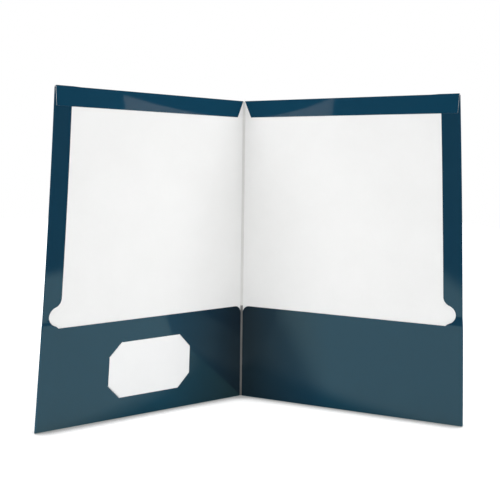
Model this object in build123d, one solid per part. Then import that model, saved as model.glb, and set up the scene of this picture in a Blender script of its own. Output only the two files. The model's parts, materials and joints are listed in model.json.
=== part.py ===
from build123d import *
import os
from math import sqrt

# A two pocket folder for letter-size sheets. It is one sheet of paper board, laminated with gloss
# film on its outer face, die cut, creased and glued, and it stands open like a book.
# Each cover is modelled flat in its own frame, then turned to the opening angle at the spine:
# X runs out from the spine crease, Y is the height above the board's middle, towards the inside
# of the folder, and Z runs up the cover. The back cover is the mirror image of the front one.

# Driving dimensions in millimetres, and one angle in degrees
cover_width = 228.6
cover_height = 298.45
rest_angle = 52.1
board = 0.40
film = 0.05
glue = 0.08
crease_clearance = 0.05
closed_clearance = 0.30
pocket_height = 93.0
pocket_gap = 0.40
pocket_inset = 0.5
pocket_corner_radius = 7.5
pocket_end_clearance = 0.8
side_flap_width = 18.2
top_flap_height = 16.6
top_flap_spine_taper = 7.2
top_flap_outer_taper = 2.0
flap_end_clearance = 0.6
notch_depth = 11.5
notch_radius = 8.5
notch_rise = 10.6
step_clearance = 1.0
step_length = 8.0
glue_margin = 2.0
flex_foot = 2.0
flex_clearance = 6.0
flex_gap = 0.02
card_width = 91.5
card_height = 52.5
card_thickness = 0.30
card_shift = 6.0
card_drop = 0.3
card_clearance = 0.02
slit_leg = 13.2
slit_run = 0.8
slit_clearance = 0.1
slit_end_clearance = 1.0
slit_flat = 3.0

# Heights of the layers above the middle of the cover board
sheet = board + film
cover_face = board / 2
cover_back = -board / 2
pocket_base = cover_face + pocket_gap
pocket_face = pocket_base + sheet
flap_base = cover_face + glue
flap_face = flap_base + sheet
flap_over_pocket = pocket_face + glue
flap_over_flap = flap_face + glue

# Fold lines: each flap turns back round a gap, and its round edge ends on the folder's outline
spine_width = 2 * pocket_face + closed_clearance
bottom_line = pocket_gap / 2 + sheet
side_gap_low = flap_over_pocket - cover_face
side_line = cover_width - side_gap_low / 2 - sheet
top_gap_high = flap_over_flap - cover_face
top_line = cover_height - top_gap_high / 2 - sheet
cover_start = board / 2 + crease_clearance
side_edge = cover_width - side_flap_width
top_edge = cover_height - top_flap_height
side_flap_end = top_line - flap_end_clearance
pocket_end = side_line - pocket_end_clearance

# The side flap steps up over the pocket, and the top flap steps up over the side flap
side_step_low = pocket_height + step_clearance
side_step_high = side_step_low + step_length
top_step_high = side_edge - step_clearance
top_step_low = top_step_high - step_length

# The notch in the side flap at the pocket's mouth: two equal arcs on each side
notch_centre = pocket_height + notch_rise
notch_half = sqrt(notch_depth * (4 * notch_radius - notch_depth))

# The card, tucked by its corners into four slanting slits in the front pocket
card_u = (pocket_inset + side_edge) / 2 + card_shift
card_v = pocket_height / 2 - card_drop
card_front = pocket_face + card_clearance
card_behind = cover_face + (pocket_gap - card_thickness) / 2
slit_out = card_width / 2 - slit_leg / 2
slit_up = card_height / 2 - slit_leg / 2
slit_width = slit_run + card_thickness + 2 * slit_clearance
slit_length = sqrt(2) * slit_leg + slit_width + 2 * slit_end_clearance
slit_slant = 45.0
corner_signs = [(1, 1), (1, -1), (-1, 1), (-1, -1)]

# A closed cover points straight forward from the spine, this many degrees round from the X axis
closed_turn = 270.0

# The free corner of a pocket bends out along a slanting line that passes clear of the card
card_corner_u = card_u - card_width / 2 - flex_clearance
card_corner_v = card_v + card_height / 2
flex_slope = (card_corner_u - pocket_inset) / (card_corner_v - flex_foot)
flex_reach = pocket_inset + flex_slope * (pocket_height - flex_foot)


def rectangle(u_low, v_low, u_high, v_high):
    """An upright rectangle in the cover's plane."""
    return Polygon((u_low, v_low), (u_high, v_low), (u_high, v_high), (u_low, v_high), align=None)


def layer(outline, low, thickness):
    """A flat layer of the given outline, from height low upwards."""
    return extrude(Plane.XZ.offset(-low) * outline, amount=thickness, dir=(0, 1, 0))


def arc_about(centre, start, end):
    """The shorter arc from start to end about centre."""
    middle = Vector(centre)
    first = Vector(start) - middle
    last = Vector(end) - middle
    half_way = middle + (first + last).normalized() * first.length
    return ThreePointArc(start, half_way, end)


def fold_section(gap):
    """Half a ring of the sheet, turned round a gap above the cover's face."""
    ring = Circle(gap / 2 + sheet) - Circle(gap / 2)
    reach = gap + 2 * sheet
    return Pos(0, cover_face + gap / 2) * (ring & rectangle(0, -reach, reach, reach))


def fold(places, gaps):
    """A folded edge that runs through the given planes, with a gap at each."""
    sections = [place * fold_section(gap) for place, gap in zip(places, gaps)]
    return loft(sections, ruled=True)


def stepped_profile(run, heights, thickness):
    """A layer seen from its edge: four places along its run, and its lower height at each."""
    lower = list(zip(run, heights))
    upper = [(along, height + thickness) for along, height in reversed(lower)]
    return Polygon(*lower, *upper, align=None)


def stepped_layer(outline, plane, run, heights, thickness, across):
    """A layer with a step in it, trimmed to an outline in the cover's plane."""
    slab = extrude(plane * stepped_profile(run, heights, thickness), amount=across, both=True)
    room = flap_over_pocket + sheet
    return slab & layer(outline, 0, room)


def cover_outline():
    """The cover panel between its creases."""
    return rectangle(cover_start, bottom_line, side_line, top_line)


def pocket_outline():
    """The whole pocket, from its bottom crease to its mouth, with a round free corner."""
    bend = (pocket_inset + pocket_corner_radius, pocket_height - pocket_corner_radius)
    mouth = (bend[0], pocket_height)
    edge = (pocket_inset, bend[1])
    foot = (pocket_inset, bottom_line)
    sides = Polyline(edge, foot, (pocket_end, bottom_line), (pocket_end, pocket_height), mouth)
    return make_face(sides + arc_about(bend, mouth, edge))


def flex_region():
    """The side of the flex line that holds the pocket's free corner."""
    beyond = pocket_height
    far_up = pocket_height + beyond
    low = (pocket_inset - flex_slope * beyond, flex_foot - beyond)
    high = (pocket_inset + flex_slope * (far_up - flex_foot), far_up)
    return Polygon(low, high, (low[0], far_up), align=None)


def slit(sign_u, sign_v):
    """One slanting slit for a corner of the card, cut through the pocket."""
    middle = Pos(card_u + sign_u * slit_out, card_v + sign_v * slit_up)
    return middle * Rot(0, 0, -slit_slant * sign_u * sign_v) * Rectangle(slit_length, slit_width)


def side_flap_outline():
    """The side flap, with its notch at the pocket's mouth."""
    high = (side_edge, notch_centre + notch_half)
    low = (side_edge, notch_centre - notch_half)
    high_join = (side_edge + notch_depth / 2, notch_centre + notch_half / 2)
    low_join = (side_edge + notch_depth / 2, notch_centre - notch_half / 2)
    deepest = (side_edge + notch_depth, notch_centre)
    top = Polyline((side_line, bottom_line), (side_line, side_flap_end), (side_edge, side_flap_end), high)
    bottom = Polyline(low, (side_edge, bottom_line), (side_line, bottom_line))
    shoulder = arc_about((side_edge + notch_radius, high[1]), high, high_join)
    hollow = ThreePointArc(high_join, deepest, low_join)
    hip = arc_about((side_edge + notch_radius, low[1]), low_join, low)
    return make_face(top + shoulder + hollow + hip + bottom)


def top_flap_outline():
    """The top flap, slanted at both ends."""
    return Polygon(
        (pocket_inset, top_line),
        (pocket_inset + top_flap_spine_taper, top_edge),
        (side_line - top_flap_outer_taper, top_edge),
        (side_line, top_line),
        align=None,
    )


def side_flap_layer(lift, thickness):
    """A layer of the side flap, lifted above the flap's base."""
    run = [bottom_line, side_step_low, side_step_high, side_flap_end]
    heights = [flap_over_pocket + lift, flap_over_pocket + lift, flap_base + lift, flap_base + lift]
    plane = Plane((side_line, 0, 0), x_dir=(0, 0, 1), z_dir=(-1, 0, 0))
    return stepped_layer(side_flap_outline(), plane, run, heights, thickness, side_flap_width)


def top_flap_layer(lift, thickness):
    """A layer of the top flap, lifted above the flap's base."""
    run = [pocket_inset, top_step_low, top_step_high, side_line]
    heights = [flap_base + lift, flap_base + lift, flap_over_flap + lift, flap_over_flap + lift]
    plane = Plane.XY.offset(top_line)
    return stepped_layer(top_flap_outline(), plane, run, heights, thickness, top_flap_height)


def cover_pieces():
    """The cover panel and its three folded edges."""
    bottom_run = [pocket_inset, side_line]
    bottom_places = [Plane((at, 0, bottom_line), x_dir=(0, 0, -1), z_dir=(1, 0, 0)) for at in bottom_run]
    side_run = [bottom_line, side_step_low, side_step_high, side_flap_end]
    side_places = [Plane((side_line, 0, at), x_dir=(1, 0, 0), z_dir=(0, 0, 1)) for at in side_run]
    top_run = [side_line, top_step_high, top_step_low, pocket_inset]
    top_places = [Plane((at, 0, top_line), x_dir=(0, 0, 1), z_dir=(-1, 0, 0)) for at in top_run]
    return {
        "cover_board": layer(cover_outline(), cover_back, board),
        "cover_film": layer(cover_outline(), cover_back - film, film),
        "bottom_fold": fold(bottom_places, [pocket_gap, pocket_gap]),
        "side_fold": fold(side_places, [side_gap_low, side_gap_low, glue, glue]),
        "top_fold": fold(top_places, [top_gap_high, top_gap_high, glue, glue]),
    }


def pocket_pieces(has_slits):
    """The pocket, in two parts that meet along the flex line."""
    panel = pocket_outline() - offset(flex_region(), flex_gap, kind=Kind.INTERSECTION)
    corner = pocket_outline() & flex_region()
    if has_slits:
        for signs in corner_signs:
            panel -= slit(*signs)
    return {
        "pocket_board": layer(panel, pocket_base, board),
        "pocket_film": layer(panel, pocket_base + board, film),
        "pocket_corner_board": layer(corner, pocket_base, board),
        "pocket_corner_film": layer(corner, pocket_base + board, film),
    }


def flap_pieces():
    """The side flap and the top flap."""
    return {
        "side_flap_board": side_flap_layer(0, board),
        "side_flap_film": side_flap_layer(board, film),
        "top_flap_board": top_flap_layer(0, board),
        "top_flap_film": top_flap_layer(board, film),
    }


def glue_pieces():
    """The strips of glue that hold the flaps down."""
    side_low = side_edge + glue_margin
    side_high = side_line - glue_margin
    top_low = top_edge + glue_margin
    top_high = side_flap_end - glue_margin
    above_notch = notch_centre + notch_half + glue_margin
    below_notch = notch_centre - notch_half - glue_margin
    side_strip = rectangle(side_low, above_notch, side_high, top_high)
    pocket_strip = rectangle(side_low, bottom_line + glue_margin, side_high, below_notch)
    top_start = pocket_inset + top_flap_spine_taper + glue_margin
    top_strip = rectangle(top_start, top_low, top_step_low - glue_margin, top_high)
    corner_patch = rectangle(side_low, top_low, side_high - top_flap_outer_taper, top_high)
    return {
        "side_flap_glue": layer(side_strip, cover_face, glue),
        "pocket_glue": layer(pocket_strip, pocket_face, glue),
        "top_flap_glue": layer(top_strip, cover_face, glue),
        "corner_glue": layer(corner_patch, flap_face, glue),
    }


def card_corner(sign_u, sign_v):
    """A corner of the card: it leaves the front, passes down through its slit and lies behind."""
    half = card_thickness / 2
    bend = slit_run / 2
    profile = Polygon(
        (-slit_flat, card_front),
        (-bend - half, card_front),
        (bend - half, card_behind),
        (slit_leg, card_behind),
        (slit_leg, card_behind + card_thickness),
        (bend + half, card_behind + card_thickness),
        (-bend + half, card_front + card_thickness),
        (-slit_flat, card_front + card_thickness),
        align=None,
    )
    place = (card_u + sign_u * slit_out, 0, card_v + sign_v * slit_up)
    plane = Plane(place, x_dir=(sign_u, 0, sign_v), z_dir=(-sign_v, 0, sign_u))
    return extrude(plane * profile, amount=slit_length, both=True)


def business_card():
    """The blank card, with its middle in front of the pocket and its corners behind."""
    leg = slit_leg + slit_flat
    half_u = card_width / 2
    half_v = card_height / 2
    middle = Polygon(
        (half_u - leg, half_v),
        (half_u, half_v - leg),
        (half_u, leg - half_v),
        (half_u - leg, -half_v),
        (leg - half_u, -half_v),
        (-half_u, leg - half_v),
        (-half_u, half_v - leg),
        (leg - half_u, half_v),
        align=None,
    )
    place = Pos(card_u, card_v)
    card = layer(place * middle, card_front, card_thickness)
    for signs in corner_signs:
        card += card_corner(*signs)
    whole = layer(place * Rectangle(card_width, card_height), 0, card_front + card_thickness)
    return card & whole


def spine_pieces():
    """The spine strip between the two cover creases, round on both crease lines."""
    strip = SlotCenterToCenter(spine_width, board)
    skin = Pos(0, cover_face + film / 2) * Rectangle(spine_width, film)
    return {
        "spine_board": extrude(strip, amount=cover_height),
        "spine_film": extrude(skin, amount=cover_height),
    }


def assemble():
    """Every piece in its place, with the origin under the middle of the folder."""
    front_place = Pos(-spine_width / 2, 0, 0) * Rot(0, 0, closed_turn - rest_angle)
    pieces = spine_pieces()
    for side in ("front", "back"):
        is_front = side == "front"
        cover = {**cover_pieces(), **pocket_pieces(is_front), **flap_pieces(), **glue_pieces()}
        for name, piece in cover.items():
            placed = front_place * piece
            pieces[f"{side}_{name}"] = placed if is_front else mirror(placed, about=Plane.YZ)
    pieces["business_card"] = front_place * business_card()
    boxes = [piece.bounding_box() for piece in pieces.values()]
    front_most = min(box.min.Y for box in boxes)
    rear_most = max(box.max.Y for box in boxes)
    lowest = min(box.min.Z for box in boxes)
    shift = Pos(0, -(front_most + rear_most) / 2, -lowest)
    return {name: shift * piece for name, piece in pieces.items()}, shift, front_place


folder, shift, front_place = assemble()
os.makedirs("parts", exist_ok=True)
for name, piece in folder.items():
    export_step(piece, f"parts/{name}.step")

hinge = shift * Pos(-spine_width / 2, 0, 0)
flex_low = shift * front_place * Pos(pocket_inset, pocket_face, flex_foot)
flex_high = shift * front_place * Pos(flex_reach, pocket_face, pocket_height)
print("front crease axis at", hinge.position)
print("front flex line from", flex_low.position, "to", flex_high.position)
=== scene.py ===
"""Dresses the two pocket folder: twisted board and film, glued flaps, a blank card and a paper sweep."""
import json
import logging
import math
from dataclasses import dataclass
from enum import Enum
from itertools import product
from typing import Callable

import bmesh
import bpy
from bmesh.types import BMesh, BMFace
from bpy.types import ID, Material, Mesh, Node, NodeSocket, NodeTree, Object
from mathutils import Matrix, Vector


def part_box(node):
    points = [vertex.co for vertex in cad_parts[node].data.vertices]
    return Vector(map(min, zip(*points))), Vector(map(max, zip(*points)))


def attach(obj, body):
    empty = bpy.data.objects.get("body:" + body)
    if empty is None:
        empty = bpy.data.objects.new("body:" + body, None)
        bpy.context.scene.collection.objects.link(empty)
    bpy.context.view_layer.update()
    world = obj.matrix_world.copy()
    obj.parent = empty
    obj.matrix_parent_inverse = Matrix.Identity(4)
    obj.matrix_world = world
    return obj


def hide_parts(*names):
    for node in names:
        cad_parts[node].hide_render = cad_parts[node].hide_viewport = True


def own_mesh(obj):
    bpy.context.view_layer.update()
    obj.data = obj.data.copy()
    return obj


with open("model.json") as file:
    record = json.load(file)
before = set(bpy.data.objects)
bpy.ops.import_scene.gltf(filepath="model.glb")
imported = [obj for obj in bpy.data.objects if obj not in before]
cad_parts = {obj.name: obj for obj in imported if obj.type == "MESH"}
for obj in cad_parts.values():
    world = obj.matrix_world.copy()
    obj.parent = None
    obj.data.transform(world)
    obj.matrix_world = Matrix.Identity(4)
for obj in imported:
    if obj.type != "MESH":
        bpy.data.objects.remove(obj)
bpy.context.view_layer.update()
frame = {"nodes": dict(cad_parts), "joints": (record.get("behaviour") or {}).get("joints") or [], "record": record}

Colour = tuple[float, float, float]
Place = tuple[float, float, float]
Paint = tuple[float, float, float, float]
Feed = NodeSocket | Paint | float

LOG = logging.getLogger("folder")
MM = 0.001
MERGE = 0.001 * MM
UP = Vector((0.0, 0.0, 1.0))
BOTH_WAYS = (-1.0, 1.0)
WHITE: Colour = (1.0, 1.0, 1.0)
PAINTED_SHADE = "painted_shade"
GLOSS_SHADE = "gloss_shade"


class Side(Enum):
    """The two covers, by the names that the frame gives their pieces."""

    FRONT = "front"
    BACK = "back"


class Stuff(Enum):
    """What a piece is made of, by the last word of its node's name."""

    BOARD = "board"
    FILM = "film"
    FOLD = "fold"
    GLUE = "glue"
    CARD = "card"

    @classmethod
    def of_node(cls, node: str) -> "Stuff":
        """The stuff of a node, read from its name."""
        return cls(node.rsplit("_", 1)[-1])


class Panel(Enum):
    """The panels that get their own painted shade or tilt, by a word in their nodes' names."""

    POCKET = "pocket"
    SIDE_FLAP = "side_flap"
    TOP_FLAP = "top_flap"

    def has(self, node: str) -> bool:
        """Whether a node is a piece of this panel."""
        return self.value in node


def opaque(colour: Colour) -> Paint:
    """A colour with the alpha that a node's socket asks for."""
    return (*colour, 1.0)


def find_joint(name: str) -> dict:
    """The frame's joint of that name."""
    return next(joint for joint in frame["joints"] if joint["name"] == name)


def merged_copy(node: str) -> BMesh:
    """Copy a node's solid, with its loose triangles joined.

    Args:
        node: The node's name.

    Returns:
        The copy.
    """
    mesh = bmesh.new()
    mesh.from_mesh(frame["nodes"][node].data)
    bmesh.ops.remove_doubles(mesh, verts=mesh.verts, dist=MERGE)
    return mesh


def slice_through(mesh: BMesh, place: Vector, normal: Vector, clear: bool = False) -> None:
    """Cut a whole mesh along a plane.

    Args:
        mesh: The mesh.
        place: A point of the plane.
        normal: The plane's normal.
        clear: Whether what lies beyond the plane is taken off.
    """
    whole = mesh.verts[:] + mesh.edges[:] + mesh.faces[:]
    bmesh.ops.bisect_plane(mesh, geom=whole, dist=MERGE, plane_co=place, plane_no=normal, clear_outer=clear)


def add_block(mesh: BMesh, middle: Vector, along: Vector, inward: Vector, sizes: Place) -> None:
    """Add a flat block to a mesh.

    Args:
        mesh: The mesh.
        middle: The block's middle.
        along: The way of its length.
        inward: The way of its thickness, square to its length.
        sizes: Its length, width and thickness.
    """
    made = bmesh.ops.create_cube(mesh, size=1.0)["verts"]
    turn = Matrix((along, inward.cross(along), inward)).transposed().to_4x4()
    stretch = Matrix.Diagonal((*sizes, 1.0))
    bmesh.ops.transform(mesh, matrix=Matrix.Translation(middle) @ turn @ stretch, verts=made)


def keep_mesh(mesh: BMesh, name: str) -> Mesh:
    """Store a finished mesh, and free the one that it was modelled in.

    Args:
        mesh: The finished mesh.
        name: The stored mesh's name.

    Returns:
        The stored mesh.
    """
    data = bpy.data.meshes.new(name)
    mesh.to_mesh(data)
    mesh.free()
    return data


def put_in_scene(data: ID) -> Object:
    """Put a mesh, lamp or camera into the scene, under its own name.

    Args:
        data: The mesh, lamp or camera.

    Returns:
        The new object.
    """
    item = bpy.data.objects.new(data.name, data)
    bpy.context.scene.collection.objects.link(item)
    return item


class NodeKit:
    """Short ways to add and join shader nodes in one tree."""

    def __init__(self, tree: NodeTree) -> None:
        """Keep the tree that the nodes go into."""
        self.tree = tree

    def add(self, kind: str, **settings: object) -> Node:
        """Add a node.

        Args:
            kind: The node's type name.
            settings: Attributes of the node, such as operation or data_type.

        Returns:
            The new node.
        """
        node = self.tree.nodes.new(kind)
        for name, value in settings.items():
            setattr(node, name, value)
        return node

    def group(self, tree: NodeTree, **values: float) -> Node:
        """Place a shared shader group.

        Args:
            tree: The group's tree.
            values: The group's inputs, by name.

        Returns:
            The group's node.
        """
        node = self.add("ShaderNodeGroup", node_tree=tree)
        for name, value in values.items():
            node.inputs[name].default_value = value
        return node

    def join(self, source: NodeSocket, target: NodeSocket) -> None:
        """Link one socket to another."""
        self.tree.links.new(source, target)

    def feed(self, value: Feed, target: NodeSocket) -> None:
        """Link a socket to an input, or set the input to a number or a colour.

        Args:
            value: A socket, a number or a colour with its alpha.
            target: The input.
        """
        if isinstance(value, NodeSocket):
            self.join(value, target)
        else:
            target.default_value = value

    def math(self, operation: str, first: Feed, second: Feed) -> NodeSocket:
        """Add a Math node.

        Args:
            operation: The node's operation.
            first: A socket or a number.
            second: A socket or a number.

        Returns:
            The result.
        """
        node = self.add("ShaderNodeMath", operation=operation)
        for value, target in zip((first, second), node.inputs):
            self.feed(value, target)
        return node.outputs["Value"]

    def weigh(self, first: Feed, first_weight: Feed, second: Feed, second_weight: Feed) -> NodeSocket:
        """Add two values up, each times its weight.

        Args:
            first: The first value.
            first_weight: Its weight.
            second: The second value.
            second_weight: Its weight.

        Returns:
            The sum.
        """
        first_part = self.math("MULTIPLY", first, first_weight)
        second_part = self.math("MULTIPLY", second, second_weight)
        return self.math("ADD", first_part, second_part)

    def noise(self, place: NodeSocket, scale: Feed, detail: float, rough: float) -> NodeSocket:
        """Add a Noise texture.

        Args:
            place: The coordinates.
            scale: A socket or a number, in repeats per metre.
            detail: Octaves.
            rough: How strong the small octaves are.

        Returns:
            The noise's value, about 0 to 1.
        """
        node = self.add("ShaderNodeTexNoise")
        self.join(place, node.inputs["Vector"])
        self.feed(scale, node.inputs["Scale"])
        node.inputs["Detail"].default_value = detail
        node.inputs["Roughness"].default_value = rough
        return node.outputs["Fac"]

    def span(
        self, value: NodeSocket, low: float, high: float, to_low: float = 0.0, to_high: float = 1.0
    ) -> NodeSocket:
        """Add a clamped Map Range.

        Args:
            value: The value to map.
            low: The value that becomes to_low.
            high: The value that becomes to_high.
            to_low: The result at the low end.
            to_high: The result at the high end.

        Returns:
            The result.
        """
        node = self.add("ShaderNodeMapRange")
        self.join(value, node.inputs["Value"])
        for name, number in (("From Min", low), ("From Max", high), ("To Min", to_low), ("To Max", to_high)):
            node.inputs[name].default_value = number
        return node.outputs["Result"]

    def between(self, share: NodeSocket, first: float, last: float) -> NodeSocket:
        """A value that goes from first to last as a share goes from 0 to 1."""
        return self.span(share, 0.0, 1.0, first, last)

    def mix(self, share: NodeSocket, first: NodeSocket | Colour, second: NodeSocket | Colour) -> NodeSocket:
        """Mix two colours.

        Args:
            share: How much of the second colour there is, 0 to 1.
            first: A socket or a colour.
            second: A socket or a colour.

        Returns:
            The mixed colour.
        """
        node = self.add("ShaderNodeMix", data_type="RGBA")
        self.join(share, node.inputs["Factor"])
        for value, name in ((first, "A"), (second, "B")):
            self.feed(value if isinstance(value, NodeSocket) else opaque(value), node.inputs[name])
        return node.outputs["Result"]

    def choose(self, share: NodeSocket, first: NodeSocket, second: NodeSocket) -> NodeSocket:
        """Mix two shaders.

        Args:
            share: How much of the second shader there is, 0 to 1.
            first: The first shader.
            second: The second shader.

        Returns:
            The mixed shader.
        """
        node = self.add("ShaderNodeMixShader")
        for source, target in zip((share, first, second), node.inputs):
            self.join(source, target)
        return node.outputs["Shader"]

    def bump(self, height: NodeSocket) -> NodeSocket:
        """Turn a height in metres into a normal.

        Args:
            height: The height.

        Returns:
            The normal.
        """
        node = self.add("ShaderNodeBump")
        node.inputs["Strength"].default_value = 1.0
        node.inputs["Distance"].default_value = 1.0
        self.join(height, node.inputs["Height"])
        return node.outputs["Normal"]


@dataclass(frozen=True)
class SurfaceEffect:
    """A pattern that more than one finish uses, made once as a shader group."""

    name: str
    inputs: tuple[tuple[str, float], ...]
    outputs: tuple[str, ...]

    def build(self) -> NodeTree:
        """Make the shader group.

        Returns:
            The group's tree.
        """
        tree = bpy.data.node_groups.new(self.name, "ShaderNodeTree")
        for label, value in self.inputs:
            socket = tree.interface.new_socket(label, in_out="INPUT", socket_type="NodeSocketFloat")
            socket.default_value = value
        for label in self.outputs:
            tree.interface.new_socket(label, in_out="OUTPUT", socket_type="NodeSocketFloat")
        kit = NodeKit(tree)
        source = kit.add("NodeGroupInput")
        place = kit.add("ShaderNodeTexCoord").outputs["Object"]
        result = kit.add("NodeGroupOutput")
        for label, socket in zip(self.outputs, self.pattern(kit, place, source)):
            kit.join(socket, result.inputs[label])
        return tree

    def pattern(self, kit: NodeKit, place: NodeSocket, source: Node) -> tuple[NodeSocket, ...]:
        """Add the nodes of the pattern.

        Args:
            kit: The group's nodes.
            place: The place on the piece.
            source: The group's input node.

        Returns:
            The group's outputs, in their order.
        """
        raise NotImplementedError


@dataclass(frozen=True)
class PaperFibre(SurfaceEffect):
    """Felted paper fibres: a fine grain, longer strands across it, and a slow mottle."""

    name: str = "paper_fibre"
    inputs: tuple[tuple[str, float], ...] = (("Scale", 900.0),)
    outputs: tuple[str, ...] = ("Height", "Shade")
    strand_stretch: Place = (1.0, 1.0, 0.22)
    grain_share: float = 0.6
    strand_share: float = 0.4
    felt_height: float = 0.04 * MM
    mottle_scale: float = 26.0
    mottle_share: float = 0.5
    shade_low: float = 0.35
    shade_high: float = 0.65

    def pattern(self, kit: NodeKit, place: NodeSocket, source: Node) -> tuple[NodeSocket, ...]:
        """Add the grain, the strands and the mottle.

        Args:
            kit: The group's nodes.
            place: The place on the piece.
            source: The group's input node.

        Returns:
            The felt's height in metres, and its shade from 0 to 1.
        """
        scale = source.outputs["Scale"]
        grain = kit.noise(place, scale, detail=5.0, rough=0.62)
        stretch = kit.add("ShaderNodeMapping")
        stretch.inputs["Scale"].default_value = self.strand_stretch
        kit.join(place, stretch.inputs["Vector"])
        strands = kit.noise(stretch.outputs["Vector"], scale, detail=3.0, rough=0.55)
        felt = kit.weigh(grain, self.grain_share, strands, self.strand_share)
        mottle = kit.noise(place, self.mottle_scale, detail=3.0, rough=0.5)
        shade = kit.weigh(felt, 1.0 - self.mottle_share, mottle, self.mottle_share)
        height = kit.math("MULTIPLY", felt, self.felt_height)
        return height, kit.span(shade, self.shade_low, self.shade_high)


@dataclass(frozen=True)
class FilmRipple(SurfaceEffect):
    """Film over board: slow ripples and a fine peel, whose inputs are their heights in metres."""

    name: str = "film_ripple"
    inputs: tuple[tuple[str, float], ...] = (("Ripple", 0.1 * MM), ("Peel", 0.0022 * MM))
    outputs: tuple[str, ...] = ("Height",)
    ripple_scale: float = 9.0
    peel_scale: float = 850.0

    def pattern(self, kit: NodeKit, place: NodeSocket, source: Node) -> tuple[NodeSocket, ...]:
        """Add the ripples and the peel.

        Args:
            kit: The group's nodes.
            place: The place on the piece.
            source: The group's input node.

        Returns:
            The film's height in metres.
        """
        slow = kit.noise(place, self.ripple_scale, detail=1.0, rough=0.4)
        fine = kit.noise(place, self.peel_scale, detail=2.0, rough=0.5)
        heights = source.outputs
        return (kit.weigh(slow, heights["Ripple"], fine, heights["Peel"]),)


@dataclass(frozen=True)
class HandlingMarks(SurfaceEffect):
    """Faint smears left by handling."""

    name: str = "handling_marks"
    inputs: tuple[tuple[str, float], ...] = (("Scale", 22.0),)
    outputs: tuple[str, ...] = ("Mask",)
    smear_low: float = 0.52
    smear_high: float = 0.75

    def pattern(self, kit: NodeKit, place: NodeSocket, source: Node) -> tuple[NodeSocket, ...]:
        """Add the smears.

        Args:
            kit: The group's nodes.
            place: The place on the piece.
            source: The group's input node.

        Returns:
            Where the smears are, 0 to 1.
        """
        smear = kit.noise(place, source.outputs["Scale"], detail=4.0, rough=0.6)
        return (kit.span(smear, self.smear_low, self.smear_high),)


class EffectGroups:
    """The shader groups that the finishes share, each built once."""

    def __init__(self) -> None:
        """Build the groups."""
        self.fibre = PaperFibre().build()
        self.ripple = FilmRipple().build()
        self.marks = HandlingMarks().build()


@dataclass(frozen=True)
class Finish:
    """A surface: its colours, gloss and the effects on it. Each kind of finish adds its own nodes."""

    name: str
    colour: Colour
    second_colour: Colour
    roughness: float
    specular: float
    refractive_index: float = 1.5

    def build(self, effects: EffectGroups) -> Material:
        """Make the material.

        Args:
            effects: The shared shader groups.

        Returns:
            The new material.
        """
        material = bpy.data.materials.new(self.name)
        material.use_nodes = True
        shader = material.node_tree.nodes["Principled BSDF"]
        shader.inputs["Specular IOR Level"].default_value = self.specular
        shader.inputs["IOR"].default_value = self.refractive_index
        self.dress(NodeKit(material.node_tree), shader, effects)
        material.diffuse_color = opaque(self.colour)
        return material

    def dress(self, kit: NodeKit, shader: Node, effects: EffectGroups) -> None:
        """Add this finish's own nodes.

        Args:
            kit: The material's nodes.
            shader: The material's shader.
            effects: The shared shader groups.
        """
        raise NotImplementedError


@dataclass(frozen=True)
class PaperFinish(Finish):
    """Uncoated paper or board, felted and matt."""

    fibre_scale: float = 900.0
    fibre_roughness: float = 0.12

    def dress(self, kit: NodeKit, shader: Node, effects: EffectGroups) -> None:
        """Add the paper's fibres.

        Args:
            kit: The material's nodes.
            shader: The material's shader.
            effects: The shared shader groups.
        """
        felt = kit.group(effects.fibre, Scale=self.fibre_scale)
        shade = felt.outputs["Shade"]
        kit.join(kit.mix(shade, self.colour, self.second_colour), shader.inputs["Base Color"])
        rough = kit.between(shade, self.roughness, self.roughness + self.fibre_roughness)
        kit.join(rough, shader.inputs["Roughness"])
        kit.join(kit.bump(felt.outputs["Height"]), shader.inputs["Normal"])


@dataclass(frozen=True)
class FilmFinish(Finish):
    """Coloured gloss film laminated on board."""

    # painted shade: the darker colour that the film's base turns to where it is marked, most near the spine
    painted_shade_colour: Colour = (0.0115, 0.0225, 0.034)
    ripple: float = 0.1 * MM
    peel: float = 0.0022 * MM
    smear_scale: float = 22.0
    smear_roughness: float = 0.04
    gloss: float = 0.85
    gloss_in_painted_shade: float = 0.12

    def dress(self, kit: NodeKit, shader: Node, effects: EffectGroups) -> None:
        """Add the film's handling marks, its painted shade between the covers and on the side flaps, its gloss
        with painted shade on the reflection where marked, and its ripples.

        Args:
            kit: The material's nodes.
            shader: The material's shader.
            effects: The shared shader groups.
        """
        marks = kit.group(effects.marks, Scale=self.smear_scale).outputs["Mask"]
        tone = kit.mix(marks, self.colour, self.second_colour)
        # painted shade: the base colour turns darker where the piece is marked, most near the spine
        painted_shade = kit.add("ShaderNodeAttribute", attribute_name=PAINTED_SHADE).outputs["Fac"]
        kit.join(kit.mix(painted_shade, tone, self.painted_shade_colour), shader.inputs["Base Color"])
        rough = kit.between(marks, self.roughness, self.roughness + self.smear_roughness)
        kit.join(rough, shader.inputs["Roughness"])
        # painted shade on the reflection: the coat's gloss is dimmed where the piece is marked, between the covers
        gloss_shade = kit.add("ShaderNodeAttribute", attribute_name=GLOSS_SHADE).outputs["Fac"]
        kit.join(kit.between(gloss_shade, self.gloss, self.gloss_in_painted_shade), shader.inputs["Coat Weight"])
        shader.inputs["Coat Roughness"].default_value = self.roughness
        wave = kit.group(effects.ripple, Ripple=self.ripple, Peel=self.peel)
        kit.join(kit.bump(wave.outputs["Height"]), shader.inputs["Normal"])


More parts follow.
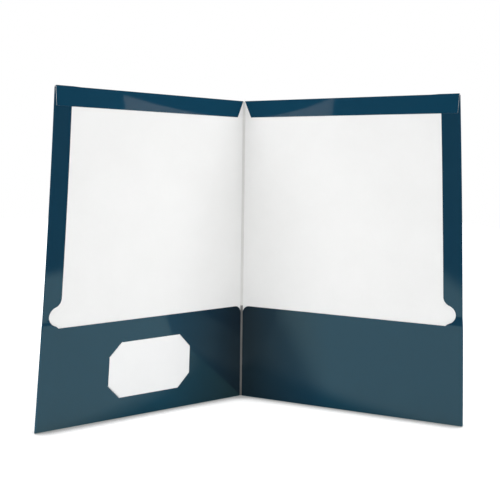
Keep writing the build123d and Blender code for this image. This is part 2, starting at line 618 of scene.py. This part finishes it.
NAVY: Colour = (0.0065, 0.048, 0.09)
NAVY_WORN: Colour = (0.0075, 0.051, 0.094)
NAVY_FOLDED: Colour = (0.014, 0.062, 0.118)
FILM = FilmFinish("navy_gloss_film", NAVY, NAVY_WORN, roughness=0.05, specular=0.1)
FOLD_FILM = FilmFinish("navy_film_on_a_fold", NAVY, NAVY_FOLDED, roughness=0.16, specular=0.1)
BOARD = PaperFinish(
    "white_board", (0.905, 0.905, 0.9), (0.875, 0.875, 0.868),
    roughness=0.62, specular=0.35,
)
# painted shade: a darker white for the spine strip's inside, standing in for the shade in the crease
PAINTED_CREASE_SHADE = PaperFinish(
    "white_board_painted_crease_shade", (0.74, 0.735, 0.72), (0.7, 0.695, 0.68),
    roughness=0.7, specular=0.25,
)
# painted shade: a dark grey for the spine strip's inside between the pockets, standing in for the shade there
PAINTED_SHADE_BETWEEN_POCKETS = PaperFinish(
    "board_painted_shade_between_pockets", (0.24, 0.235, 0.23), (0.2, 0.195, 0.19),
    roughness=0.7, specular=0.25,
)
CUT_EDGE = PaperFinish(
    "cut_board_edge", (0.86, 0.86, 0.85), (0.78, 0.78, 0.765),
    roughness=0.8, specular=0.2, fibre_scale=2600.0,
)
GLUE = PaperFinish(
    "dried_glue", (0.8, 0.79, 0.73), (0.72, 0.71, 0.65),
    roughness=0.45, specular=0.4, fibre_scale=400.0,
)
CARD = PaperFinish(
    "blank_card_stock", (0.925, 0.925, 0.925), (0.9, 0.9, 0.9),
    roughness=0.5, specular=0.4, fibre_scale=1400.0,
)
FINISHES = (FILM, FOLD_FILM, BOARD, PAINTED_CREASE_SHADE, PAINTED_SHADE_BETWEEN_POCKETS, CUT_EDGE, GLUE, CARD)
EVEN_FINISHES = {Stuff.FILM: FILM, Stuff.GLUE: GLUE, Stuff.CARD: CARD}


@dataclass(frozen=True)
class Twist:
    """How far a cover turns past its flat shape at three heights, in degrees; more is wider open."""

    foot: float
    middle: float
    head: float

    def turn(self, share: float) -> float:
        """The turn at a height, on a smooth curve through the three.

        Args:
            share: The share of the cover's height.

        Returns:
            The turn in radians.
        """
        # Each part counts fully at its own height, and not at all at the other two.
        foot_part = self.foot * (1.0 - share) * (1.0 - 2.0 * share)
        middle_part = self.middle * 4.0 * share * (1.0 - share)
        head_part = self.head * share * (2.0 * share - 1.0)
        return math.radians(foot_part + middle_part + head_part)


FRONT_TWIST = Twist(foot=4.67, middle=-0.71, head=-4.42)
BACK_TWIST = Twist(foot=4.55, middle=0.36, head=-4.30)


@dataclass(frozen=True)
class CoverSpace:
    """A cover's own space: its crease, the way in from its board, and how its sheet is twisted.

    The standing folder's covers open wider at the foot than at the head, so a cover isn't flat: it turns
    about its crease by the twist, one way at the foot and the other way at the head.
    """

    side: Side
    crease: Vector
    opens: Vector
    inward: Vector
    height: float
    twist: Twist

    @classmethod
    def of_side(cls, side: Side, twist: Twist) -> "CoverSpace":
        """Read a cover's space from the frame.

        Args:
            side: Which cover.
            twist: How its sheet is twisted.

        Returns:
            The cover's space.
        """
        joint = find_joint(f"{side.value}_cover_fold")
        mounts = frame["record"]["mounts"]
        face = next(mount for mount in mounts if mount["name"] == f"{side.value}_outer_face")
        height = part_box("spine_board")[1].z
        inward = -Vector(face["axis"])
        return cls(side, Vector(joint["pos_m"]), Vector(joint["axis"]), inward, height, twist)

    @property
    def outward(self) -> Vector:
        """The way from the crease to the cover's outer edge."""
        return self.opens.cross(self.inward)

    @property
    def joint(self) -> str:
        """The joint that opens this cover."""
        return f"{self.side.value}_cover_fold"

    @property
    def ways(self) -> tuple[Vector, Vector]:
        """The two directions in the cover's plane, across and up."""
        return self.outward, UP

    def out(self, point: Vector) -> float:
        """How far a point lies from the crease towards the cover's outer edge."""
        return (point - self.crease).dot(self.outward)

    def bent(self, point: Vector) -> Vector:
        """Find where a point of the flat cover lies on the twisted one.

        Args:
            point: The point of the flat cover.

        Returns:
            The point of the twisted cover.
        """
        turn = self.twist.turn(point.z / self.height)
        arm = point - self.crease
        return self.crease + Matrix.Rotation(turn, 3, self.opens) @ arm


@dataclass
class SheetMaker:
    """Makes one cover's twisted pieces from the frame's flat solids.

    A value that ends in _share is the least part of a face's normal that has to point a given way. The film
    of pockets and side flaps gets painted shade: full as far out from the crease as painted_shade_start, less
    from there to painted_shade_end, and never less than pocket_shade_least or side_flap_shade_least. The
    back pocket's film gets painted shade on its reflection, a dimmed gloss as far out as a soft line, which
    starts at gloss_shade_end and leans in as it rises.
    """

    space: CoverSpace
    materials: dict[Finish, Material]
    row_pitch: float = 7.5 * MM
    column_pitch: float = 10.0 * MM
    flat_angle: float = math.radians(0.4)
    sharp_angle: float = math.radians(38.0)
    broad_share: float = 0.5
    slant_share: float = 0.5
    end_share: float = 0.7
    crease_reach: float = 0.3 * MM
    # painted shade on pocket and side flap film: full near the crease, fading outward, with a least amount per
    # panel
    painted_shade_start: float = 10.0 * MM
    painted_shade_end: float = 130.0 * MM
    pocket_shade_least: float = 0.27
    side_flap_shade_least: float = 0.28
    # the soft leaning line inside which the back pocket's reflection gets painted shade
    gloss_shade_end: float = 95.0 * MM
    gloss_shade_lean: float = 0.54
    gloss_shade_soft: float = 14.0 * MM
    flap_lean: float = math.radians(1.35)
    keep: float = 0.05

    def make(self, node: str, name: str, body: str) -> Object:
        """Make the piece that stands for a node.

        Args:
            node: The node's name.
            name: The new piece's name.
            body: The body that it rides on.

        Returns:
            The new piece.
        """
        stuff = Stuff.of_node(node)
        mesh = merged_copy(node)
        bmesh.ops.dissolve_limit(mesh, angle_limit=self.flat_angle, verts=mesh.verts, edges=mesh.edges)
        for way, pitch in zip(self.space.ways, (self.column_pitch, self.row_pitch)):
            self.cut(mesh, way, pitch)
        mesh.normal_update()
        finishes = self.paint(mesh, stuff)
        if stuff is Stuff.FILM:
            self.tone(mesh, node)
        if stuff is not Stuff.GLUE and Panel.TOP_FLAP.has(node):
            self.lean(mesh)
        self.bend(mesh)
        self.shade(mesh)
        piece = self.place(keep_mesh(mesh, name), finishes, body, stuff)
        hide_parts(node)
        return piece

    def place(self, data: Mesh, finishes: list[Finish], body: str, stuff: Stuff) -> Object:
        """Put a bent mesh into the scene as a piece of the cover.

        Args:
            data: The mesh, which gives the piece its name.
            finishes: The finishes, in the order of the material slots.
            body: The body that it rides on.
            stuff: What the piece is made of; not used.

        Returns:
            The new piece.
        """
        for finish in finishes:
            data.materials.append(self.materials[finish])
        piece = put_in_scene(data)
        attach(piece, body)
        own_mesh(piece)
        LOG.info("%s rides on %s, %d faces", data.name, body, len(data.polygons))
        return piece

    def cut(self, mesh: BMesh, along: Vector, pitch: float) -> None:
        """Cut a mesh into bands, so that it can bend.

        Args:
            mesh: The mesh.
            along: The direction across the bands.
            pitch: The bands' width.
        """
        reach = [(vert.co - self.space.crease).dot(along) for vert in mesh.verts]
        first = math.floor(min(reach) / pitch) + 1
        last = math.ceil(max(reach) / pitch)
        for step in range(first, last):
            slice_through(mesh, self.space.crease + along * (step * pitch), along)

    def bend(self, mesh: BMesh) -> None:
        """Move a flat mesh onto the twisted cover.

        Args:
            mesh: The flat mesh.
        """
        for vert in mesh.verts:
            vert.co = self.space.bent(vert.co)
        mesh.normal_update()

    def paint(self, mesh: BMesh, stuff: Stuff) -> list[Finish]:
        """Choose the finish of each face.

        Args:
            mesh: The flat mesh.
            stuff: What the piece is made of.

        Returns:
            The finishes, in the order of the material slots.
        """
        if stuff is Stuff.BOARD:
            return self.paint_board(mesh)
        if stuff is Stuff.FOLD:
            return self.paint_fold(mesh)
        return [EVEN_FINISHES[stuff]]

    def paint_board(self, mesh: BMesh) -> list[Finish]:
        """Leave a board's broad faces white, show its cut edges and put film on its hidden ones.

        Args:
            mesh: The flat mesh.

        Returns:
            The finishes, in the order of the material slots.
        """
        finishes = [BOARD, CUT_EDGE, FILM]
        for face in mesh.faces:
            face.material_index = finishes.index(self.board_finish(face))
        return finishes

    def board_finish(self, face: BMFace) -> Finish:
        """Choose the finish of a board's face.

        Args:
            face: The face.

        Returns:
            Board for a broad face, film for an edge that film hides, which is a slanting cut inside a pocket
            or the board's end at the crease, and the cut edge's finish for the rest.
        """
        if abs(face.normal.dot(self.space.inward)) > self.broad_share:
            return BOARD
        slant = min(abs(face.normal.dot(way)) for way in self.space.ways)
        at_crease = self.space.out(face.calc_center_median()) < self.crease_reach
        return FILM if slant > self.slant_share or at_crease else CUT_EDGE

    def paint_fold(self, mesh: BMesh) -> list[Finish]:
        """Put film on the outside of a fold, and bare board inside it and on its ends.

        Args:
            mesh: The flat mesh.

        Returns:
            The finishes, in the order of the material slots.
        """
        finishes = [FOLD_FILM, BOARD]
        # The fold runs along its longer direction, and its faces look away from its middle or towards it.
        middle = sum((vert.co for vert in mesh.verts), Vector()) / len(mesh.verts)
        spread = [max(abs((vert.co - middle).dot(way)) for vert in mesh.verts) for way in self.space.ways]
        run = self.space.ways[spread.index(max(spread))]
        for face in mesh.faces:
            arm = face.calc_center_median() - middle
            arm -= run * arm.dot(run)
            is_end = abs(face.normal.dot(run)) > self.end_share
            is_inside = arm.dot(face.normal) < 0.0
            face.material_index = finishes.index(BOARD if is_end or is_inside else FOLD_FILM)
        return finishes

    def tone(self, mesh: BMesh, node: str) -> None:
        """Mark a film with painted shade where it is darker, and with painted shade on its gloss where it mirrors
        little.

        Args:
            mesh: The film's flat mesh.
            node: The film's node.
        """
        if Panel.POCKET.has(node):
            self.mark(mesh, PAINTED_SHADE, self.painted_shade_at, self.pocket_shade_least)
        if Panel.SIDE_FLAP.has(node):
            self.mark(mesh, PAINTED_SHADE, self.painted_shade_at, self.side_flap_shade_least)
        # painted shade on the back pocket's reflection
        if Panel.POCKET.has(node) and self.space.side is Side.BACK:
            self.mark(mesh, GLOSS_SHADE, self.gloss_shade_at, 0.0)

    @staticmethod
    def mark(mesh: BMesh, name: str, measure: Callable[[Vector], float], least: float) -> None:
        """Write a share on each point of a film, for its finish to read.

        Args:
            mesh: The film's flat mesh.
            name: The mark's name.
            measure: Gives a point's share, which is then kept between least and 1.
            least: The least share.
        """
        layer = mesh.verts.layers.float.new(name)
        for vert in mesh.verts:
            vert[layer] = min(max(measure(vert.co), least), 1.0)

    def painted_shade_at(self, point: Vector) -> float:
        """How much painted shade a point gets: 1 or more at the spine, 0 or less far out."""
        return (self.painted_shade_end - self.space.out(point)) / (self.painted_shade_end - self.painted_shade_start)

    def gloss_shade_at(self, point: Vector) -> float:
        """How much painted shade the gloss gets: 1 or more inside the leaning line, 0 or less past it."""
        past = self.space.out(point) - self.gloss_shade_end + self.gloss_shade_lean * point.z
        return (self.gloss_shade_soft - past) / (2.0 * self.gloss_shade_soft)

    def lean(self, mesh: BMesh) -> None:
        """Tilt a top flap about the middle of its height, as board springs back beside a fold.

        Args:
            mesh: The flap's flat mesh.
        """
        low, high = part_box(f"{self.space.side.value}_top_flap_film")
        middle = (low.z + high.z) / 2
        for vert in mesh.verts:
            vert.co += self.space.inward * ((vert.co.z - middle) * math.tan(self.flap_lean))

    def shade(self, mesh: BMesh) -> None:
        """Smooth the faces, with sharp edges where the sheet turns a corner.

        Args:
            mesh: The bent mesh.
        """
        for face in mesh.faces:
            face.smooth = True
        for edge in mesh.edges:
            edge.smooth = edge.calc_face_angle(math.pi) < self.sharp_angle


@dataclass
class Cover:
    """A cover with its pocket, flaps, folded edges and glue."""

    maker: SheetMaker

    def build(self) -> None:
        """Make every piece of the cover."""
        side = self.maker.space.side.value
        bodies = frame["record"]["behaviour"]["bodies"]
        for body in (f"{side}_cover", f"{side}_pocket_corner"):
            for node in bodies[body]:
                self.maker.make(node, f"{node}_bent", body)


@dataclass
class BlankCard:
    """The blank card, tucked by its corners into the front pocket."""

    maker: SheetMaker

    def build(self) -> None:
        """Make the card, which stays out of the mirror image in the other pocket."""
        card = self.maker.make("business_card", "blank_card", "card")
        card.visible_glossy = False


@dataclass
class SlitLips:
    """The film's lips that close the ends of the card's four slits.

    The slits cut off the card's corners at slit_leg along both sides. A lip runs from lip_start to lip_end
    out from the middle of its slit.
    """

    maker: SheetMaker
    card_width: float = 91.5 * MM
    card_height: float = 52.5 * MM
    slit_leg: float = 13.2 * MM
    lip_start: float = 9.45 * MM
    lip_end: float = 11.05 * MM
    lip_width: float = 1.34 * MM
    level: float = 1.02 * MM
    thickness: float = 0.05 * MM

    def build(self) -> None:
        """Make the eight lips as one piece."""
        mesh = bmesh.new()
        for to_side, to_head, end in product(BOTH_WAYS, repeat=3):
            self.lip(mesh, to_side, to_head, end)
        self.maker.bend(mesh)
        body = f"{self.maker.space.side.value}_cover"
        self.maker.place(keep_mesh(mesh, "slit_lips"), [FILM], body, Stuff.FILM)

    def lip(self, mesh: BMesh, to_side: float, to_head: float, end: float) -> None:
        """Add one lip.

        Args:
            mesh: The mesh that it goes into.
            to_side: Which side of the card, -1 or 1.
            to_head: The card's foot or head, -1 or 1.
            end: Which end of the slit, -1 or 1.
        """
        across, up = self.maker.space.ways
        out = across * (to_side * (self.card_width - self.slit_leg) / 2)
        rise = up * (to_head * (self.card_height - self.slit_leg) / 2)
        along = (across * to_side - up * to_head).normalized() * end
        middle = self.card_middle() + out + rise + along * ((self.lip_start + self.lip_end) / 2)
        sizes = (self.lip_end - self.lip_start, self.lip_width, self.thickness)
        add_block(mesh, middle, along, self.maker.space.inward, sizes)

    def card_middle(self) -> Vector:
        """Find the middle of the card, at the lips' level above the cover's crease.

        Returns:
            The middle, on the flat cover.
        """
        space = self.maker.space
        corners = [vert.co - space.crease for vert in frame["nodes"]["business_card"].data.vertices]
        place = space.crease + space.inward * self.level
        for way in space.ways:
            reach = [corner.dot(way) for corner in corners]
            place += way * ((min(reach) + max(reach)) / 2)
        return place


@dataclass
class FlexBacking:
    """A strip of film behind a pocket's flex line, where the real sheet bends without a gap."""

    maker: SheetMaker
    width: float = 5.0 * MM
    margin: float = 6.0 * MM
    depth: float = 0.62 * MM
    thickness: float = 0.05 * MM

    def build(self) -> None:
        """Make the strip, a little short of the line's foot and cut off along the pocket's mouth."""
        space = self.maker.space
        side = space.side.value
        joint = find_joint(f"{side}_pocket_flex")
        foot = Vector(joint["pos_m"])
        axis = Vector(joint["axis"])
        along = axis * math.copysign(1.0, axis.z)
        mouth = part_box(f"{side}_pocket_board")[1].z
        # The slanting strip reaches past the mouth at first, so that it can be cut off level there.
        end = (mouth - foot.z) / along.z + self.width
        middle = foot + along * ((self.margin + end) / 2) - space.inward * self.depth
        mesh = bmesh.new()
        add_block(mesh, middle, along, space.inward, (end - self.margin, self.width, self.thickness))
        slice_through(mesh, UP * (mouth - self.thickness), UP, clear=True)
        bmesh.ops.holes_fill(mesh, edges=mesh.edges)
        self.maker.cut(mesh, UP, self.maker.row_pitch)
        self.maker.bend(mesh)
        self.maker.place(keep_mesh(mesh, f"{side}_flex_backing"), [FILM], f"{side}_cover", Stuff.FILM)


@dataclass
class Spine:
    """The spine strip between the two creases, which stays straight."""

    materials: dict[Finish, Material]
    square_share: float = 0.5

    def build(self) -> None:
        """Dress the strip's film, and make its board."""
        film = frame["nodes"]["spine_film"]
        film.data.materials.clear()
        film.data.materials.append(self.materials[FILM])
        LOG.info("%s dressed in %s", film.name, FILM.name)
        self.board()

    def board(self) -> None:
        """Make the strip's board: painted crease shade inside, darker painted shade between the pockets, under
        film at its creases.
        """
        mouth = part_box("front_pocket_board")[1].z
        mesh = merged_copy("spine_board")
        slice_through(mesh, UP * mouth, UP)
        mesh.normal_update()
        finishes = [PAINTED_CREASE_SHADE, CUT_EDGE, FILM, PAINTED_SHADE_BETWEEN_POCKETS]
        for face in mesh.faces:
            face.material_index = finishes.index(self.board_finish(face, mouth))
        data = keep_mesh(mesh, "spine_strip")
        for finish in finishes:
            data.materials.append(self.materials[finish])
        strip = put_in_scene(data)
        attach(strip, "spine")
        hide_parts("spine_board")
        LOG.info("%s rides on spine, %d faces", data.name, len(data.polygons))

    def board_finish(self, face: BMFace, mouth: float) -> Finish:
        """Choose the finish of a face of the strip's board.

        Args:
            face: The face.
            mouth: The height of the pockets' mouths.

        Returns:
            The cut edge's finish at the strip's ends, film at its creases, and inside it board with dark
            painted shade below the mouths and board with lighter painted crease shade above them.
        """
        if abs(face.normal.z) > self.square_share:
            return CUT_EDGE
        if abs(face.normal.x) > self.square_share:
            return FILM
        # painted shade: the inside is dark below the pockets' mouths and a little darker above them
        return PAINTED_SHADE_BETWEEN_POCKETS if face.calc_center_median().z < mouth else PAINTED_CREASE_SHADE


@dataclass(frozen=True)
class SoftBox:
    """A large soft lamp."""

    name: str
    place: Place
    width: float
    height: float
    watts: float
    aim: Place = (0.0, 0.0, 0.15)

    def build(self) -> None:
        """Hang the lamp and aim it; the film doesn't mirror it."""
        data = bpy.data.lights.new(self.name, "AREA")
        data.shape = "RECTANGLE"
        data.size = self.width
        data.size_y = self.height
        data.energy = self.watts
        lamp = put_in_scene(data)
        lamp.location = self.place
        lamp.rotation_euler = (Vector(self.aim) - Vector(self.place)).to_track_quat("-Z", "Y").to_euler()
        lamp.visible_glossy = False


LAMPS = (
    SoftBox("key_box", place=(-1.71, -1.2, 1.0), width=1.3, height=1.3, watts=30.2),
    SoftBox("fill_box", place=(1.71, -1.2, 1.0), width=1.3, height=1.3, watts=31.5),
    SoftBox("top_box", place=(0.0, -0.3, 2.3), width=1.8, height=1.8, watts=17.0),
    SoftBox("rear_box", place=(0.2, 2.0, 1.6), width=1.5, height=1.5, watts=14.0),
)


@dataclass(frozen=True)
class Sweep:
    """A roll of white paper to stand on.

    The camera sees it as plain white away from the folder, and darker within touch_reach of it. The film
    mirrors it as a glowing paper of its own, with painted light and painted shade: shaded behind a curve
    through shade_front, and ending in front at mirror_front, where the dim room begins.
    """

    left: float = -1.43
    right: float = 1.2
    near: float = -1.6
    far: float = 3.0
    drop: float = 0.1 * MM
    white: float = 0.82
    roughness: float = 0.9
    specular: float = 0.1
    touch_reach: float = 19.0 * MM
    touch_low: float = 0.5
    touch_high: float = 0.95
    touch_dark: float = 0.36
    glow_start: float = 0.2
    glow_end: float = 0.55
    glow_least: float = 0.52
    shade_front: float = -5.0 * MM
    shade_curve: float = 1.0
    shade_soft: float = 14.0 * MM
    # painted reflection: the colours of the glowing paper that the film mirrors, lit and in painted shade
    mirror_light: Colour = (0.69, 1.0, 0.94)
    mirror_shade: Colour = (0.09, 0.27, 0.25)
    mirror_front: float = -235.0 * MM
    mirror_soft: float = 20.0 * MM
    mirror_slant: float = 0.2
    mirror_least: float = 0.02

    def build(self) -> None:
        """Lay the paper, a little below the folder's foot."""
        mesh = bmesh.new()
        bmesh.ops.create_grid(mesh, x_segments=1, y_segments=1, size=0.5)
        bmesh.ops.scale(mesh, vec=(self.right - self.left, self.far - self.near, 1.0), verts=mesh.verts)
        middle = ((self.left + self.right) / 2, (self.near + self.far) / 2, -self.drop)
        bmesh.ops.translate(mesh, vec=middle, verts=mesh.verts)
        data = keep_mesh(mesh, "paper_sweep")
        data.materials.append(self.material())
        sweep = put_in_scene(data)

    def material(self) -> Material:
        """Make the paper's material, which the camera and the film see apart.

        Returns:
            The new material.
        """
        material = bpy.data.materials.new("white_sweep")
        material.use_nodes = True
        kit = NodeKit(material.node_tree)
        paper = material.node_tree.nodes["Principled BSDF"]
        paper.inputs["Roughness"].default_value = self.roughness
        paper.inputs["Specular IOR Level"].default_value = self.specular
        touch = kit.add("ShaderNodeAmbientOcclusion")
        touch.inputs["Distance"].default_value = self.touch_reach
        clear = kit.span(touch.outputs["AO"], self.touch_low, self.touch_high, self.touch_dark, 1.0)
        kit.join(kit.math("MULTIPLY", clear, self.white), paper.inputs["Base Color"])
        place = kit.add("ShaderNodeTexCoord").outputs["Object"]
        path = kit.add("ShaderNodeLightPath")
        glow = self.glow(kit, place, clear, path.outputs["Is Camera Ray"])
        both = kit.add("ShaderNodeAddShader")
        for part, target in zip((paper.outputs["BSDF"], glow), both.inputs):
            kit.join(part, target)
        mirrored = self.mirrored(kit, place)
        surface = kit.choose(path.outputs["Is Glossy Ray"], both.outputs["Shader"], mirrored)
        kit.join(surface, material.node_tree.nodes["Material Output"].inputs["Surface"])
        return material

    def glow(self, kit: NodeKit, place: NodeSocket, clear: NodeSocket, seen: NodeSocket) -> NodeSocket:
        """Add the glow that makes the paper plain white to the camera, less under the folder.

        Args:
            kit: The material's nodes.
            place: The place on the paper.
            clear: How clear of the folder the paper is, 1 where nothing touches it.
            seen: Whether the camera sees it.

        Returns:
            The glow's shader.
        """
        distance = kit.add("ShaderNodeVectorMath", operation="LENGTH")
        kit.join(place, distance.inputs[0])
        away = kit.span(distance.outputs["Value"], self.glow_start, self.glow_end, self.glow_least, 1.0)
        glow = kit.add("ShaderNodeEmission")
        kit.join(kit.math("MULTIPLY", kit.math("MULTIPLY", away, seen), clear), glow.inputs["Strength"])
        return glow.outputs["Emission"]

    def mirrored(self, kit: NodeKit, place: NodeSocket) -> NodeSocket:
        """Add the glowing paper that shows in the film, with painted light and painted shade: shaded between the
        covers, and ending in front.

        Args:
            kit: The material's nodes.
            place: The place on the paper.

        Returns:
            The shader that the film mirrors.
        """
        split = kit.add("ShaderNodeSeparateXYZ")
        kit.join(place, split.inputs["Vector"])
        aside = kit.math("MULTIPLY", kit.math("POWER", split.outputs["X"], 2.0), self.shade_curve)
        past = kit.math("SUBTRACT", self.shade_front, kit.math("ADD", split.outputs["Y"], aside))
        lit = kit.span(past, -self.shade_soft, self.shade_soft)
        glow = kit.add("ShaderNodeEmission")
        kit.join(kit.mix(lit, self.mirror_shade, self.mirror_light), glow.inputs["Color"])
        aslant = kit.math("MULTIPLY", split.outputs["X"], self.mirror_slant)
        ahead = kit.math("SUBTRACT", split.outputs["Y"], aslant)
        dim_end = self.mirror_front - self.mirror_soft
        edge = kit.span(ahead, dim_end, self.mirror_front, self.mirror_least, 1.0)
        kit.join(edge, glow.inputs["Strength"])
        return glow.outputs["Emission"]


@dataclass(frozen=True)
class Room:
    """The room: white to the camera, white behind the folder in reflections, and an even dim fill."""

    ambient: float = 0.17
    mirror_least: float = 0.02
    behind_start: float = 0.2
    behind_end: float = 0.6

    def build(self) -> None:
        """Make the room's light."""
        world = bpy.data.worlds.new("studio")
        world.use_nodes = True
        bpy.context.scene.world = world
        nodes = world.node_tree.nodes
        kit = NodeKit(world.node_tree)
        split = kit.add("ShaderNodeSeparateXYZ")
        kit.join(kit.add("ShaderNodeTexCoord").outputs["Generated"], split.inputs["Vector"])
        behind = kit.span(split.outputs["Y"], self.behind_start, self.behind_end, self.mirror_least, 1.0)
        fill = self.light(kit, nodes["Background"], self.ambient)
        mirrored = self.light(kit, kit.add("ShaderNodeBackground"), behind)
        white = self.light(kit, kit.add("ShaderNodeBackground"), 1.0)
        path = kit.add("ShaderNodeLightPath")
        unseen = kit.choose(path.outputs["Is Glossy Ray"], fill, mirrored)
        seen = kit.choose(path.outputs["Is Camera Ray"], unseen, white)
        kit.join(seen, nodes["World Output"].inputs["Surface"])

    @staticmethod
    def light(kit: NodeKit, node: Node, strength: Feed) -> NodeSocket:
        """Make a background white.

        Args:
            kit: The world's nodes.
            node: The background.
            strength: A socket or a number.

        Returns:
            The background's shader.
        """
        node.inputs["Color"].default_value = opaque(WHITE)
        kit.feed(strength, node.inputs["Strength"])
        return node.outputs["Background"]


@dataclass(frozen=True)
class Camera:
    """The camera: a long lens, left of the spine, looking a little down."""

    lens_mm: float = 67.412
    sensor_mm: float = 36.0
    place: Place = (-0.09052, -0.86601, 0.23702)
    yaw: float = math.radians(-5.9952)
    tilt: float = math.radians(84.6909)
    roll: float = math.radians(0.7424)

    def build(self) -> None:
        """Set the camera up."""
        data = bpy.data.cameras.new("camera")
        data.lens = self.lens_mm
        data.sensor_width = self.sensor_mm
        camera = put_in_scene(data)
        turn = Matrix.Rotation(self.yaw, 3, "Z") @ Matrix.Rotation(self.tilt, 3, "X")
        turn = turn @ Matrix.Rotation(self.roll, 3, "Z")
        camera.rotation_euler = turn.to_euler()
        camera.location = self.place
        bpy.context.scene.camera = camera


def main() -> None:
    """Build the folder and its stage."""
    logging.basicConfig(level=logging.INFO, format="%(message)s")
    effects = EffectGroups()
    materials = {finish: finish.build(effects) for finish in FINISHES}
    front = SheetMaker(CoverSpace.of_side(Side.FRONT, FRONT_TWIST), materials)
    back = SheetMaker(CoverSpace.of_side(Side.BACK, BACK_TWIST), materials)
    Spine(materials).build()
    for maker in (front, back):
        Cover(maker).build()
        FlexBacking(maker).build()
    BlankCard(front).build()
    SlitLips(front).build()
    bpy.context.scene.view_settings.view_transform = "Standard"
    for stage in (Sweep(), Room(), *LAMPS, Camera()):
        stage.build()


if __name__ == "__main__":
    main()
